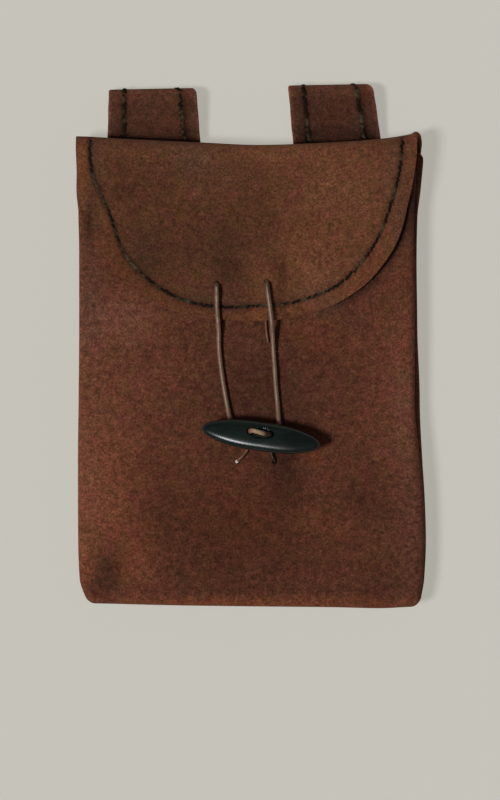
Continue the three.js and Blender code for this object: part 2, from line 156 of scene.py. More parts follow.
def addNode(tree, kind, output, sockets, **settings):
    node = tree.nodes.new("ShaderNode" + kind)
    for setting, value in settings.items():
        setattr(node, setting, value)
    for socket, value in sockets.items():
        if isinstance(value, bpy.types.NodeSocket):
            tree.links.new(value, node.inputs[socket])
        else:
            node.inputs[socket].default_value = value
    return node.outputs[output]


def addPlace(tree):
    return addNode(tree, "TexCoord", "Object", {})


def addNoise(tree, place, scale, detail=2.0, roughness=0.5):
    sockets = {"Vector": place, "Scale": scale, "Detail": detail, "Roughness": roughness}
    return addNode(tree, "TexNoise", "Fac", sockets)


def addRange(tree, value, low, high, newLow=0.0, newHigh=1.0):
    sockets = {"Value": value, "From Min": low, "From Max": high, "To Min": newLow, "To Max": newHigh}
    return addNode(tree, "MapRange", "Result", sockets)


def addMath(tree, operation, first, second=0.0):
    return addNode(tree, "Math", "Value", {0: first, 1: second}, operation=operation)


def addColourMix(tree, blend, share, first, second):
    return addNode(tree, "Mix", 2, {0: share, 6: first, 7: second}, data_type="RGBA", blend_type=blend)


def addShade(tree, colour, light):  # the colour made lighter and darker
    grey = addNode(tree, "CombineColor", "Color", {0: light, 1: light, 2: light})
    return addColourMix(tree, "MULTIPLY", 1.0, colour, grey)


def addBump(tree, height, strength, distance, **under):
    sockets = {"Height": height, "Strength": strength, "Distance": distance, **under}
    return addNode(tree, "Bump", "Normal", sockets)


def plug(tree, shader, colour, bump):
    tree.links.new(colour, shader.inputs["Base Color"])
    tree.links.new(bump, shader.inputs["Normal"])


noiseSpan = (0.3, 0.7)  # where most of a noise's values lie
suedeShader = {
    "Roughness": 0.95,
    "Specular IOR Level": 0.06,
    "Sheen Weight": 0.08,
    "Sheen Roughness": 0.6,
    "Sheen Tint": (0.9, 0.5, 0.32, 1),
}
suedeLayers = {  # scale to a metre, detail and roughness of each layer of noise
    "clouds": (34, 3, 0.5),
    "reds": (115, 2, 0.6),
    "greens": (160, 2, 0.6),
    "mottling": (330, 3, 0.6),
    "grain": (900, 2, 0.6),
    "nap": (2300, 2, 0.5),
}
suedeLight = {  # the part of a layer that darkens and lightens the leather, and how much
    "clouds": (0.3, 0.7, 0.08),
    "mottling": (0.25, 0.75, None),  # each suede has its own blotch
    "grain": (0.28, 0.72, 0.45),
    "nap": (0.28, 0.72, 0.38),
}
suedeHues = {  # the part of a layer that turns the leather towards another colour, and how far
    "mottling": (0.35, 0.7, 0.4, "paler"),
    "reds": (0.45, 0.65, 0.75, "redder"),
    "greens": (0.48, 0.66, 0.75, "greener"),
}
suedeBump = {"mottling": 0.35, "mottlingDepth": 0.0005, "grain": 0.6, "grainDepth": 0.0003}


def makeSuede(name, look):  # a brushed nap: dull, mottled and finely grained
    material, tree, shader = makeMaterial(name, suedeShader)
    place = addPlace(tree)
    layers = {layer: addNoise(tree, place, *noiseLook) for layer, noiseLook in suedeLayers.items()}
    light = 1.0
    for layer, (low, high, by) in suedeLight.items():
        by = by or look["blotch"]
        ranged = addRange(tree, layers[layer], low, high, 1 - by, 1 + by)
        light = addMath(tree, "MULTIPLY", light, ranged)
    hue = look["colour"]
    for layer, (low, high, most, towards) in suedeHues.items():
        share = addRange(tree, layers[layer], low, high, 0.0, most)
        hue = addColourMix(tree, "MIX", share, hue, look[towards])
    tone = addNode(tree, "Attribute", "Color", {}, attribute_name="tone")
    stained = addColourMix(tree, "MULTIPLY", 1.0, hue, tone)
    coarse = addBump(tree, layers["mottling"], suedeBump["mottling"], suedeBump["mottlingDepth"])
    pile = addMath(tree, "ADD", layers["grain"], layers["nap"])
    fine = addBump(tree, pile, suedeBump["grain"], suedeBump["grainDepth"], Normal=coarse)
    plug(tree, shader, addShade(tree, stained, light), fine)
    return material


bodySuede = makeSuede("bodySuede", {
    "blotch": 0.36,
    "colour": (0.082, 0.0265, 0.0137, 1),
    "paler": (0.104, 0.038, 0.0205, 1),
    "redder": (0.092, 0.0257, 0.0158, 1),
    "greener": (0.076, 0.0298, 0.0128, 1),
})
flapSuede = makeSuede("flapSuede", {
    "blotch": 0.24,
    "colour": (0.083, 0.0298, 0.0135, 1),
    "paler": (0.102, 0.0425, 0.0205, 1),
    "redder": (0.092, 0.0275, 0.0165, 1),
    "greener": (0.077, 0.0335, 0.0125, 1),
})
loopSuede = makeSuede("loopSuede", {
    "blotch": 0.26,
    "colour": (0.058, 0.0207, 0.0114, 1),
    "paler": (0.078, 0.0305, 0.0165, 1),
    "redder": (0.068, 0.02, 0.0137, 1),
    "greener": (0.054, 0.0236, 0.011, 1),
})

# Each lace turns from its first colour into the further one, from near to far away from the middle
# of an axis. Below the middle it may turn into a third colour instead.
fades = {  # axis, middle, near, far, and two or three colours
    # The closing lace darkens at the flap's holes: painted shade where it comes out of the leather.
    "lace": ("Y", -0.05, 0.0735, 0.081, (0.138, 0.078, 0.046, 1), (0.062, 0.032, 0.02, 1)),
    # The toggle's lace is tan on its bridge, its left leg brown and its right leg almost black: the
    # legs' own darker brown, with painted shade under the toggle, darkest on the right leg.
    "toggleLace": (
        "X", 0.0032, 0.0008, 0.0044,
        (0.3, 0.2, 0.122, 1), (0.028, 0.015, 0.01, 1), (0.13, 0.052, 0.033, 1),
    ),
    "tailLace": ("Y", 0, 0.002, 0.01, (0.15, 0.068, 0.043, 1), (0.12, 0.054, 0.034, 1)),
    # The lace's cut end is pale, with a painted glint brightest across its middle.
    "cutLace": ("X", -0.0064, 0.0003, 0.0011, (0.6, 0.58, 0.52, 1), (0.32, 0.28, 0.23, 1)),
}
laceLook = {
    "roughness": 0.38,
    "shiny": 0.25,
    "dull": 0.1,
    "wear": 420,
    "grain": 1700,
    "darkest": 0.72,
    "lightest": 1.2,
    "bump": 0.3,
    "depth": 0.0002,
}


def makeLace(name, gloss, axis, middle, near, far, colour, further, lower=None):
    sockets = {"Roughness": laceLook["roughness"], "Specular IOR Level": laceLook[gloss]}
    material, tree, shader = makeMaterial(name, sockets)
    place = addPlace(tree)
    wear = addNoise(tree, place, laceLook["wear"], 3, 0.6)
    grain = addNoise(tree, place, laceLook["grain"], 2)
    at = addNode(tree, "SeparateXYZ", axis, {"Vector": place})
    away = addMath(tree, "ABSOLUTE", addMath(tree, "SUBTRACT", at, middle))
    if lower:
        side = addRange(tree, at, middle - near, middle + near)
        further = addColourMix(tree, "MIX", side, lower, further)
    base = addColourMix(tree, "MIX", addRange(tree, away, near, far), colour, further)
    mottled = addRange(tree, wear, *noiseSpan, laceLook["darkest"], laceLook["lightest"])
    bump = addBump(tree, addMath(tree, "ADD", wear, grain), laceLook["bump"], laceLook["depth"])
    plug(tree, shader, addShade(tree, base, mottled), bump)
    return material


hornLook = {
    "colour": (0.002, 0.0048, 0.0034, 1),
    "streak": (0.0055, 0.0125, 0.0095, 1),
    "streaks": 420,
    "streakSpan": (0.4, 0.75),
    "stretch": (0.18, 1, 1),
    "turn": radians(8.3),
    "specular": 0.4,
    "smoothest": 0.22,
    "roughest": 0.26,
    "polish": 160,
    "bump": 0.06,
    "depth": 0.0004,
}


def makeHorn():
    material, tree, shader = makeMaterial("horn", {"Specular IOR Level": hornLook["specular"]})
    place = addPlace(tree)
    sockets = {"Vector": place, "Rotation": (0, 0, hornLook["turn"]), "Scale": hornLook["stretch"]}
    streaks = addNoise(tree, addNode(tree, "Mapping", "Vector", sockets), hornLook["streaks"], 3, 0.6)
    share = addRange(tree, streaks, *hornLook["streakSpan"])
    base = addColourMix(tree, "MIX", share, hornLook["colour"], hornLook["streak"])
    polish = addNoise(tree, place, hornLook["polish"], 2)
    rough = addRange(tree, polish, *noiseSpan, hornLook["smoothest"], hornLook["roughest"])
    tree.links.new(rough, shader.inputs["Roughness"])
    plug(tree, shader, base, addBump(tree, polish, hornLook["bump"], hornLook["depth"]))
    return material


threadLook = {
    "colour": (0.008, 0.0058, 0.0034, 1),
    "pale": (0.058, 0.043, 0.026, 1),
    "wear": 190,
    "wearSpan": (0.46, 0.66),
    "twist": 2600,
    "bump": 0.5,
    "depth": 0.0002,
}


def makeThread():
    material, tree, shader = makeMaterial("thread", {"Roughness": 0.9, "Specular IOR Level": 0.05})
    place = addPlace(tree)
    share = addRange(tree, addNoise(tree, place, threadLook["wear"], 2), *threadLook["wearSpan"])
    base = addColourMix(tree, "MIX", share, threadLook["colour"], threadLook["pale"])
    twist = addNoise(tree, place, threadLook["twist"], 1)
    plug(tree, shader, base, addBump(tree, twist, threadLook["bump"], threadLook["depth"]))
    return material


lace = makeLace("lace", "shiny", *fades["lace"])
toggleLace = makeLace("toggleLace", "dull", *fades["toggleLace"])
tailLace = makeLace("tailLace", "dull", *fades["tailLace"])
cutLace = makeLace("cutLace", "shiny", *fades["cutLace"])
horn = makeHorn()
thread = makeThread()
print("materials made")


def addPiece(name, data, material, slotName, *nodes):
    piece = addObject(name, data)
    data.materials.append(material)
    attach(piece, "root")
    if nodes:
        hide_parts(*nodes)
    return piece


def finishMesh(bm, name):
    mesh = bpy.data.meshes.new(name)
    bm.to_mesh(mesh)
    bm.free()
    mesh.shade_smooth()
    return mesh


cordSize = {"radius": 0.00115, "tailRadius": 0.00052, "thinner": 0.6, "uneven": 0.03}

# The closing cord, from the knot behind the flap's left hole, round the toggle, to the right knot.
closingRoute = [
    (-0.0163, 0.0319, 0.0188), (-0.0163, 0.0309, 0.0193), (-0.0163, 0.03, 0.0208),
    (-0.0163, 0.0289, 0.0222), (-0.0163, 0.0272, 0.0223), (-0.0163, 0.023, 0.0212),
    (-0.0161, 0.017, 0.0209), (-0.0157, 0.0115, 0.0208), (-0.0154, 0.007, 0.0197),
    (-0.0153, 0, 0.0188), (-0.0146, -0.008, 0.0188), (-0.0129, -0.02, 0.0188),
    (-0.0109, -0.031, 0.0189), (-0.0099, -0.036, 0.0198), (-0.0092, -0.0405, 0.0209),
    (-0.0078, -0.0444, 0.0212), (-0.0048, -0.0476, 0.0212), (-0.0009, -0.0492, 0.0212),
    (0.0032, -0.0497, 0.0211), (0.0074, -0.0495, 0.0211), (0.011, -0.0479, 0.0212),
    (0.0131, -0.0444, 0.0212), (0.0138, -0.04, 0.0208), (0.0136, -0.0355, 0.0198),
    (0.0133, -0.031, 0.019), (0.0125, -0.022, 0.0188), (0.0116, -0.009, 0.0188),
    (0.0111, -0.002, 0.0189), (0.0107, 0.005, 0.0204), (0.0103, 0.011, 0.0225),
    (0.0095, 0.018, 0.0233), (0.0085, 0.025, 0.0237), (0.0081, 0.0284, 0.0241),
    (0.0081, 0.0303, 0.0236), (0.008, 0.0313, 0.0216), (0.0079, 0.0319, 0.0197),
    (0.0078, 0.0325, 0.0189),
]
tailRoute = [
    (0.0106, 0.0346, 0.0188), (0.011, 0.0315, 0.0185), (0.0101, 0.027, 0.0183),
    (0.0085, 0.02, 0.0181), (0.0075, 0.0135, 0.018), (0.0077, 0.0075, 0.018),
    (0.0085, 0.0015, 0.018),
]
# The toggle's cord goes in at one hole of the front panel and out of the other, knotted inside.
toggleRoute = [
    (-0.001, -0.0575, 0.0132), (-0.0036, -0.0576, 0.0133), (-0.0059, -0.0575, 0.0141),
    (-0.0066, -0.0567, 0.0157), (-0.006, -0.0558, 0.0176), (-0.0046, -0.0543, 0.0184),
    (-0.003, -0.0525, 0.0185), (-0.0018, -0.0508, 0.0185), (-0.0012, -0.0489, 0.0186),
    (-0.001, -0.047, 0.0194), (-0.0008, -0.0453, 0.0212), (-0.0005, -0.0438, 0.0232),
    (-0.0003, -0.0424, 0.026), (-0.0002, -0.0416, 0.0286), (0.0002, -0.0411, 0.0299),
    (0.0016, -0.0412, 0.0307), (0.0046, -0.042, 0.0308), (0.0077, -0.0428, 0.0307),
    (0.0091, -0.043, 0.0299), (0.0095, -0.0431, 0.0286), (0.0094, -0.0437, 0.026),
    (0.0094, -0.0443, 0.0232), (0.0095, -0.0449, 0.0212), (0.0096, -0.046, 0.0196),
    (0.0098, -0.0482, 0.0186), (0.01, -0.0506, 0.0185), (0.0103, -0.0528, 0.0184),
    (0.0109, -0.0546, 0.0183), (0.0117, -0.0559, 0.0173), (0.0119, -0.0568, 0.0156),
    (0.0111, -0.0575, 0.0141), (0.0092, -0.0576, 0.0133), (0.0069, -0.0575, 0.0132),
]


def addCurve(name, places, radius, rounding, steps, closed):
    data = bpy.data.curves.new(name, "CURVE")
    data.dimensions = "3D"
    data.bevel_depth = radius
    data.bevel_resolution = rounding
    data.resolution_u = steps
    data.use_fill_caps = not closed
    spline = data.splines.new("BEZIER")
    spline.use_cyclic_u = closed
    spline.bezier_points.add(len(places) - 1)
    for bend, place in zip(spline.bezier_points, places):
        bend.co = place
        bend.handle_left_type = bend.handle_right_type = "AUTO"
    return data


def makeCord(name, route, radius, material, *nodes, thinBelow=0):  # thinner where it lies under a height
    data = addCurve(name, route, radius, rounding=5, steps=10, closed=False)
    for i, bend in enumerate(data.splines[0].bezier_points):
        bend.radius = 1 + cordSize["uneven"] * noise.noise(Vector((i * 0.7, 3.1, 0.4)))
        if route[i][2] < thinBelow:
            bend.radius *= cordSize["thinner"]
    return addPiece(name, data, material, "cord", *nodes)


# A knot is a trefoil of the same cord pulled tight: its middle, and half its size each way.
knots = rows(
    "node x y z long wide high",
    ("closing_cord_knot_left", -0.0163, 0.0349, 0.01895, 0.0034, 0.0026, 0.0015),
    ("closing_cord_knot_right", 0.0097, 0.0356, 0.01895, 0.0036, 0.0024, 0.0015),
    ("toggle_cord_knot", 0.003, -0.0575, 0.01305, 0.0036, 0.0026, 0.0016),
)
knotSize = {"radius": 0.00085, "points": 30, "span": 2.9}


def makeKnot(knot):
    radius = knotSize["radius"]
    long, wide = [(knot[way] - radius) / knotSize["span"] for way in ("long", "wide")]
    places = []
    for i in range(knotSize["points"]):
        turn = 2 * pi * i / knotSize["points"]
        x = knot["x"] + long * (sin(turn) + 2 * sin(2 * turn))
        y = knot["y"] + wide * (cos(turn) - 2 * cos(2 * turn))
        places.append((x, y, knot["z"] - (knot["high"] - radius) * sin(3 * turn)))
    data = addCurve(knot["node"], places, radius, rounding=4, steps=4, closed=True)
    return addPiece("knot_" + knot["node"], data, lace, "cord", knot["node"])


closingCord = makeCord("closing_cord_lace", closingRoute, cordSize["radius"], lace, "closing_cord")
tail = makeCord("closing_cord_tail", tailRoute, cordSize["tailRadius"], tailLace)
makeCord("toggle_cord_lace", toggleRoute, cordSize["radius"], toggleLace, "toggle_cord", thinBelow=0.02)
leftKnot, rightKnot = [makeKnot(knot) for knot in knots][:2]
print("cords and knots made")


# The leather's shape: each panel is given by the middle of its thickness.
leather = {"thick": 0.0018, "gap": 0.0003, "turnRadius": 0.0022, "turnAngle": radians(105)}
half = leather["thick"] / 2
turnLength = leather["turnRadius"] * leather["turnAngle"]
panel = {"width": 0.168, "height": 0.214, "cornerCut": 0.005, "mouth": 0.086}
cornerRadius = panel["cornerCut"] - turnLength + leather["turnRadius"] + half
fold = {"length": 0.018, "flap": 0.084, "flatFrom": 0.006}

sides = rows(
    "y left right bulge",
    (-0.128, -0.079, 0.082, 0.0006),
    (-0.113, -0.0832, 0.0839, 0.0008),
    (-0.095, -0.0839, 0.0847, 0.0008),
    (-0.074, -0.084, 0.0841, 0.0008),
    (-0.055, -0.084, 0.0823, 0.0014),
    (-0.027, -0.0837, 0.0799, 0.0026),
    (0.01, -0.0834, 0.0799, 0.0014),
    (0.046, -0.0834, 0.0796, 0.0013),
    (0.062, -0.0837, 0.0796, 0.0016),
    (0.076, -0.0838, 0.0802, 0.0026),
    (0.09, -0.0838, 0.0809, 0.0032),
    (0.092, -0.0838, 0.0815, 0.0023),
    (0.094, -0.0838, 0.0822, 0.0002),
)
bottomEdge = rows(
    "x y",
    (-0.084, -0.1254), (-0.038, -0.1263), (0, -0.1268),
    (0.04, -0.1272), (0.063, -0.1277), (0.084, -0.1269),
)
foldEdge = rows(
    "x y",
    (-0.0846, 0.1018), (-0.066, 0.1009), (-0.024, 0.0988),
    (0.004, 0.0976), (0.038, 0.0988), (0.064, 0.1007),
    (0.0745, 0.1022), (0.0785, 0.1031), (0.0803, 0.1042),
    (0.0818, 0.103), (0.0835, 0.1006),
)
frontLevel = rows(
    "y edge crown",
    (-0.128, 0.0132, 0.0005), (-0.108, 0.0136, 0.0017), (-0.06, 0.0136, 0.0028),
    (0, 0.0136, 0.0028), (0.05, 0.0142, 0.002), (0.086, 0.0159, 0.0009),
)
crown = {"halfWidth": 0.084, "power": 2.5}
backLevel = rows("y z", (0.036, half), (0.051, 0.0052), (0.072, 0.0054), (0.092, 0.0076))
backTurn = rows("y share", (0.062, 1), (0.086, 0.05))

# Soft dents (depth above 0) and swells (below 0) of the front panel: x, y, depth, width and height.
dents = [
    (-0.073, -0.113, 0.0017, 0.008, 0.013),
    (-0.048, -0.119, -0.0007, 0.014, 0.006),
    (0.003, -0.066, 0.001, 0.022, 0.014),
    (0.044, -0.084, -0.0008, 0.018, 0.024),
    (-0.052, -0.03, -0.0007, 0.016, 0.03),
    (-0.068, 0.004, 0.0006, 0.009, 0.016),
    (0.058, -0.02, 0.0007, 0.012, 0.026),
]
flap = {
    "x": -0.0019,
    "y": 0.1005,
    "halfWidth": 0.0828,
    "depth": 0.0884,
    "power": 2.4,
    "start": 0.09,
    "uneven": 0.004,
    "hills": (0.16, 2.7),
}
flapRest = leather["thick"] + leather["gap"] + 0.0001
# What lies under the flap lifts it: x, y, height, width, tallness and skew.
lifts = [
    (-0.0163, 0.0349, 0.0037, 0.0065, 0.0065, 0),
    (0.0092, 0.0356, 0.0038, 0.0065, 0.0065, 0),
    (0.0091, 0.019, 0.003, 0.005, 0.017, 0.14),
    (0.067, 0.044, 0.0013, 0.017, 0.027, -0.4),
]
# Where the flap's right edge was cut inside its curve.
flapNip = rows(
    "y narrower",
    (0.03, 0), (0.045, 0.0004), (0.058, 0.0009),
    (0.068, 0.0016), (0.078, 0.0009), (0.087, 0.0003),
    (0.094, 0),
)
ripples = {"height": 0.0005, "hills": (0.034, 1.3), "fine": 0.0002, "fineHills": (0.012, 5.2)}


def frontHeight(x, y):
    share = 1 - min(1, abs(x / crown["halfWidth"])) ** crown["power"]
    level = along(frontLevel, y, "edge") + along(frontLevel, y, "crown") * share
    for left, low, depth, wide, tall in dents:
        level -= depth * bell(x - left, y - low, wide, tall)
    level += ripples["height"] * wave(x, y, ripples["hills"]) * share
    return level + ripples["fine"] * wave(x, y, ripples["fineHills"])


def backHeight(x, y):
    return along(backLevel, y, "z")


def flapHeight(x, y):
    level = frontHeight(x, y) + flapRest
    for left, low, height, wide, tall, skew in lifts:
        level += height * bell(x - left - skew * (y - low), y - low, wide, tall)
    return level


def panelPoint(across, up, top, height, way, turnShare):
    onLeft = across < panel["width"] / 2
    fromSide = across if onLeft else panel["width"] - across
    cut = panel["cornerCut"]
    reachX = max(0, cut - fromSide)
    reachY = max(0, cut - up)
    a = reachX / cut
    b = reachY / cut
    reachX *= sqrt(1 - b * b / 2)
    reachY *= sqrt(1 - a * a / 2)
    reach = hypot(reachX, reachY)
    past = reach - (cut - turnLength)
    share = turnShare(up)
    drop = 0
    if past > 0:
        radius = leather["turnRadius"] / share
        bend = past / radius
        longer = (cut - turnLength + radius * sin(bend)) / reach
        reachX *= longer
        reachY *= longer
        drop = radius * (1 - cos(bend))
    bottom = along(bottomEdge, across - panel["width"] / 2, "y") + cornerRadius
    rise = max(0, up - cut) / (panel["height"] - cut)
    y = mix(bottom, top, rise) - reachY
    left = along(sides, y, "left") + cornerRadius
    right = along(sides, y, "right") - cornerRadius
    inner = min(1, max(0, (across - cut) / (panel["width"] - 2 * cut)))
    x = mix(left, right, inner) + (-reachX if onLeft else reachX)
    return Vector((x, y, height(x, y) + way * drop))


def turnedDepth(share):  # how far a rolled edge reaches past the middle of its panel's leather
    bend = share * leather["turnAngle"]
    return leather["turnRadius"] / share * (1 - cos(bend)) + half * abs(cos(bend))


def frontPoint(across, up):
    return panelPoint(across, up, panel["mouth"], frontHeight, -1, lambda at: 1)


def squareness(turn, power):  # how far a round grows at an angle to become a squarish curve
    return (abs(cos(turn)) ** power + abs(sin(turn)) ** power) ** (-1 / power)


def flapPoint(side, down):
    v = mix(flap["start"], 1, down)
    reachX = side * sqrt(1 - v * v / 2)
    reachY = v * sqrt(1 - side * side / 2)
    turn = atan2(reachY, reachX)
    reach = hypot(reachX, reachY)
    uneven = flap["uneven"] * wave(reachX * reach, reachY * reach, flap["hills"])
    longer = mix(1, squareness(turn, flap["power"]) * (1 + uneven), reach**4)
    x = flap["x"] + reachX * longer * flap["halfWidth"]
    y = flap["y"] - reachY * longer * flap["depth"]
    if side > 0:
        x -= along(flapNip, y, "narrower") * reach**6
    return x, y


@lru_cache(maxsize=None)
def foldCentre(x):
    edge = along(foldEdge, x, "y") - half
    low = backHeight(x, edge)
    high = flapHeight(x, edge - fold["flatFrom"])
    radius = (high - low) / 2
    return edge - radius, low + radius, radius


def backAndFlapPoint(across, up):
    side = 2 * across / panel["width"] - 1
    startX, startY = flapPoint(side, 0)
    height = panel["height"]

    def backPoint(at, top):
        def share(level):
            return along(backTurn, mix(bottomEdge[0]["y"], top, level / height), "share")

        return panelPoint(across, at, top, backHeight, 1, share)

    if up <= height + fold["length"]:
        backEnd = backPoint(height, foldCentre(startX)[0])
    if up <= height:
        return backPoint(up, foldCentre(backEnd.x)[0])
    if up <= height + fold["length"]:
        around = (up - height) / fold["length"]
        x = mix(backEnd.x, startX, smooth(around))
        foldY, foldZ, radius = foldCentre(x)
        return Vector((x, foldY + radius * sin(pi * around), foldZ - radius * cos(pi * around)))
    down = (up - height - fold["length"]) / fold["flap"]
    x, y = flapPoint(side, down)
    y += (foldCentre(startX)[0] - startY) * (1 - down) ** 3
    return Vector((x, y, flapHeight(x, y) - stitchGroove(x, y)))


# The flap's row of stitches follows its edge.
hem = {
    "x": -0.00223,
    "y": 0.1005,
    "halfWidth": 0.0758,
    "depth": 0.0821,
    "power": 2.25,
    "groove": 0.00035,
    "grooveWidth": 0.001,
    "overFold": 0.0003,
    "foldStep": 0.0003,
    "steps": 240,
}
stitch = {
    "pitch": 0.0026,
    "length": 0.003,
    "wide": 0.0017,
    "high": 0.0009,
    "blunt": -0.3,
    "slant": radians(24),
    "loops": 1.2,  # how much wider they are on the belt loops
}
# How far each stitch differs from the next, and how fast.
unlike = {"place": (0.16, 3.7), "slant": (0.6, 2.3), "stray": (0.00022, 2.9), "size": (0.16, 1.7)}

# How far the row was sewn outside its true curve, by the angle round the curve from its left end.
hemWander = rows(
    "turn by over",
    (27, -0.0038, 11), (68, 0.0009, 14), (95, -0.0008, 9),
    (124, 0.0009, 9), (157, -0.0013, 12),
)


def hemShift(turn):
    return sum(row["by"] * bell(degrees(turn) - row["turn"], 0, row["over"], 1) for row in hemWander)


def pastCurve(curve, x, y):  # distance outside the flap's edge or its stitches, and the turn round it
    over = (x - curve["x"]) / curve["halfWidth"]
    down = max(0.0, curve["y"] - y) / curve["depth"]
    reach = (abs(over) ** curve["power"] + down ** curve["power"]) ** (1 / curve["power"])
    reach = max(reach, 0.05)  # never quite at the middle
    return (1 - 1 / reach) * hypot(x - curve["x"], curve["y"] - y), atan2(down, -over)


def pastHem(x, y):
    outside, turn = pastCurve(hem, x, y)
    return outside - hemShift(turn)


def stitchGroove(x, y):
    return hem["groove"] * bell(pastHem(x, y), 0, hem["grooveWidth"], 1)


def flapTop(x, y):  # the middle of the flap's leather, over its top fold as well
    foldY, foldZ, radius = foldCentre(x)
    if y > foldY:
        return foldZ + sqrt(max(0, radius**2 - (y - foldY) ** 2))
    return flapHeight(x, y) - stitchGroove(x, y)


def hemLine():
    line = []
    for turn in stops(0, pi, pi / hem["steps"]):
        reach = Vector((-hem["halfWidth"] * cos(turn), -hem["depth"] * sin(turn)))
        reach *= squareness(turn, hem["power"])
        reach *= 1 + hemShift(turn) / reach.length
        x = hem["x"] + reach.x
        y = hem["y"] + reach.y
        line.append(Vector((x, y, flapTop(x, y) + half)))
    return overFold(line[0])[::-1] + line + overFold(line[-1])


def overFold(end):  # the row runs on to the top of the fold
    top = along(foldEdge, end.x, "y") - hem["overFold"]
    return [Vector((end.x, y, flapTop(end.x, y) + half)) for y in stops(end.y, top, hem["foldStep"])[1:]]


def sway(kind, i, start=0):
    by, step = unlike[kind]
    return by * sin(i * step + start)


def addStitches(bm, line, outward, thick=1.0):  # one flat bead of thread after another along a line
    lengths = [0.0]
    for before, after in zip(line, line[1:]):
        lengths.append(lengths[-1] + (after - before).length)
    seed = lengths[-1]
    for i in range(int(seed / stitch["pitch"])):
        by, step = unlike["place"]
        at = (i + 0.5 + by * noise.noise(Vector((i * step, seed * 90, 0)))) * stitch["pitch"]
        k = next(k for k in range(len(line) - 1) if at <= lengths[k + 1])
        centre = line[k].lerp(line[k + 1], (at - lengths[k]) / (lengths[k + 1] - lengths[k]))
        forward = (line[k + 1] - line[k]).normalized()
        up = outward(centre)
        up = (up - forward * up.dot(forward)).normalized()
        forward = Matrix.Rotation(stitch["slant"] * (1 + sway("slant", i)), 3, up) @ forward
        across = up.cross(forward)
        long = stitch["length"] / 2 * (1 + sway("size", i))
        spans = forward * long, across * stitch["wide"] / 2 * thick, up * stitch["high"] / 2
        place = Matrix(spans).transposed().to_4x4()
        place.translation = centre + across * sway("stray", i, seed * 60)
        made = bmesh.ops.create_uvsphere(bm, u_segments=8, v_segments=6, radius=1)
        for vert in made["verts"]:
            x, y, z = vert.co
            vert.co = Vector((z * abs(z) ** stitch["blunt"] if z else 0, x, y))
        bmesh.ops.transform(bm, matrix=place, verts=made["verts"])


def flapNormal(point):
    step = 0.0015
    dx = flapTop(point.x + step, point.y) - flapTop(point.x - step, point.y)
    dy = flapTop(point.x, point.y + step) - flapTop(point.x, point.y - step)
    return Vector((-dx, -dy, 2 * step)).normalized()


def makeFlapStitches():
    bm = bmesh.new()
    addStitches(bm, hemLine(), flapNormal)
    bmesh.ops.recalc_face_normals(bm, faces=bm.faces)
    return addPiece("flap_stitches", finishMesh(bm, "flap_stitches"), thread, "suede_flap")


cutEdge = {"angle": radians(50), "width": 0.0003, "segments": 2}


def makeSheet(node, across, up, middle, tone, material, slotName, holes=()):
    bm = bmesh.new()
    columns = len(across) - 1
    lines = len(up) - 1
    bmesh.ops.create_grid(bm, x_segments=columns, y_segments=lines, size=1)
    dye = bm.verts.layers.float_color.new("tone")
    for vert in bm.verts:
        u = across[round((vert.co.x + 1) / 2 * columns)]
        v = up[round((vert.co.y + 1) / 2 * lines)]
        vert.co = middle(u, v)
        vert[dye] = (*tone(u, v, vert.co), 1)
    for hole in holes:
        openHole(bm, hole)
    piece = addPiece(node + "_suede", finishMesh(bm, node), material, slotName, node)
    thicken = piece.modifiers.new("thickness", "SOLIDIFY")
    thicken.thickness = leather["thick"]
    thicken.offset = 0
    soften = piece.modifiers.new("cut edges", "BEVEL")
    soften.limit_method = "ANGLE"
    soften.angle_limit = cutEdge["angle"]
    soften.width = cutEdge["width"]
    soften.segments = cutEdge["segments"]
    return piece


holeSize = {"radius": 0.0012, "reach": 0.004}
flapHoles = [Vector((-0.0163, 0.0305, 0.0207)), Vector((0.0080, 0.0312, 0.0212))]
frontHoles = [Vector((-0.0063, -0.0563, 0.0166)), Vector((0.0118, -0.0564, 0.0164))]


def openHole(bm, centre):  # the nearest vertex goes, and the eight round it stand on the hole's rim
    near = min(bm.verts, key=lambda vert: (vert.co - centre).length)
    shift = centre - near.co
    shift.z = 0
    reach = holeSize["reach"]
    for vert in bm.verts:
        away = hypot(vert.co.x - near.co.x, vert.co.y - near.co.y)
        if vert is not near and away < reach and abs(vert.co.z - centre.z) < reach:
            vert.co += shift * smooth(1 - away / reach)
    rim = {vert for face in near.link_faces for vert in face.verts if vert is not near}
    for vert in rim:
        way = Vector((vert.co.x - centre.x, vert.co.y - centre.y, 0)).normalized()
        vert.co.x = centre.x + way.x * holeSize["radius"]
        vert.co.y = centre.y + way.y * holeSize["radius"]
    bmesh.ops.delete(bm, geom=[near], context="VERTS")


warming = 0.35  # how far full warmth raises red and lowers blue


def dyed(light, warm):  # light and warmth as a colour that multiplies the suede's own
    return (1 + light) * (1 + warming * warm), 1 + light, (1 + light) * (1 - warming * warm)


def patchTone(patches, point):
    light = warm = 0
    for x, y, wide, tall, lighter, warmer in patches:
        share = bell(1000 * point.x - x, 1000 * point.y - y, wide, tall)
        light += lighter * share
        warm += warmer * share
    return light, warm
